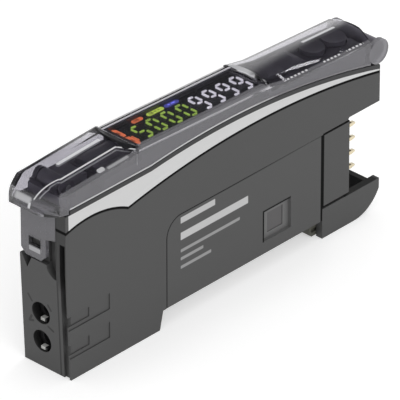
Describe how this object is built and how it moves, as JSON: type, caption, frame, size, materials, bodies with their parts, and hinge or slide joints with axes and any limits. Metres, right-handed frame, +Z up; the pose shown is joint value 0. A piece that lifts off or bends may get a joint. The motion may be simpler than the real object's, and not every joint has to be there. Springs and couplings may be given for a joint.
{
  "type": "fibre optic sensor amplifier",
  "caption": "Slim rail-mounted fibre optic sensor amplifier with a hinged smoked cover over a two-row display and keys, fibre holes in the front and a pin connector at the rear.",
  "frame": {"origin": "middle of the bounding box at the level of the foot", "axes": "+X from the fibre end to the connector end, +Y across the unit away from the labelled side, +Z up"},
  "size_m": [0.0766, 0.01, 0.0358],
  "materials": {
    "case_plastic": "fine satin",
    "cover_half_plastic": "fine satin",
    "label_print": "satin label field",
    "trim_plastic": "semi gloss",
    "filter_plastic": "deep red-black filter",
    "deck_plastic": "satin",
    "key_plastic": "satin",
    "cover_clear": "smoked clear, polished",
    "display_clear": "smoked clear, polished",
    "display_black": "matte",
    "segment_green": "lit",
    "segment_white": "lit",
    "lamp_orange": "lit",
    "lamp_lime": "lit",
    "lamp_blue": "lit",
    "light_plastic": "moulded",
    "head_plastic": "moulded",
    "emitter_clear": "clear red package",
    "receiver_black": "black package",
    "board": "solder mask",
    "chip": "moulded package",
    "steel": "ground",
    "pin_metal": "plated",
    "hook_plastic": "moulded",
    "lens_clear": "clear package"
  },
  "bodies": {
    "base": {"main_case": "case_plastic", "side_cover": "cover_half_plastic", "label_field": "label_print", "trim_near": "trim_plastic", "trim_far": "trim_plastic", "comm_window_near": "filter_plastic", "comm_window_far": "filter_plastic", "control_deck": "deck_plastic", "display_window": "display_clear", "display_module": "display_black", "digits_green": "segment_green", "digits_white": "segment_white", "lamps_orange": "lamp_orange", "lamp_lime": "lamp_lime", "lamp_blue": "lamp_blue", "lever_pin": "steel", "fibre_head": "head_plastic", "emitter": "emitter_clear", "receiver": "receiver_black", "main_board": "board", "board_chips": "chip", "display_board": "board", "tact_switches": "light_plastic", "comm_emitter": "lens_clear", "comm_receiver": "receiver_black", "connector_block": "case_plastic", "connector_pins": "pin_metal", "rail_spring": "steel"},
    "lid": {"cover": "cover_clear"},
    "lever": {"lock_lever": "key_plastic"},
    "clamp": {"fibre_clamp": "light_plastic"},
    "tune_key": {"tune_button": "key_plastic"},
    "rocker_key": {"rocker": "key_plastic", "rocker_axle": "steel"},
    "front_round_key": {"round_button_front": "key_plastic"},
    "rear_round_key": {"round_button_rear": "key_plastic"},
    "hook": {"rail_hook": "hook_plastic"}
  },
  "joints": [
    {"name": "cover_hinge", "type": "hinge", "parent": "base", "child": "lid", "pos_m": [0.03606, 0, 0.02907], "axis": [0, 1, 0], "range_deg": [0, 110]},
    {"name": "lever_pivot", "type": "hinge", "parent": "base", "child": "lever", "pos_m": [-0.03204, 0, 0.03213], "axis": [0, -1, 0], "range_deg": [0, 12]},
    {"name": "clamp_slide", "type": "slide", "parent": "base", "child": "clamp", "axis": [0, 0, 1], "range_m": [0, 0.0004]},
    {"name": "tune_press", "type": "slide", "parent": "base", "child": "tune_key", "axis": [0, 0, -1], "range_m": [0, 0.00035], "stiffness_N_per_m": 3000},
    {"name": "rocker_tilt", "type": "hinge", "parent": "base", "child": "rocker_key", "pos_m": [0.01726, 0, 0.03011], "axis": [0, 1, 0], "range_deg": [-3, 3], "stiffness_Nm_per_rad": 0.05},
    {"name": "front_round_press", "type": "slide", "parent": "base", "child": "front_round_key", "axis": [0, 0, -1], "range_m": [0, 0.00035], "stiffness_N_per_m": 3000},
    {"name": "rear_round_press", "type": "slide", "parent": "base", "child": "rear_round_key", "axis": [0, 0, -1], "range_m": [0, 0.00035], "stiffness_N_per_m": 3000},
    {"name": "hook_slide", "type": "slide", "parent": "base", "child": "hook", "axis": [1, 0, 0], "range_m": [0, 0.0012], "stiffness_N_per_m": 3000, "deforming": ["rail_spring"]}
  ],
  "couplings": [
    {"joint": "clamp_slide", "follows": "lever_pivot", "m_per_rad": 0.0019}
  ]
}
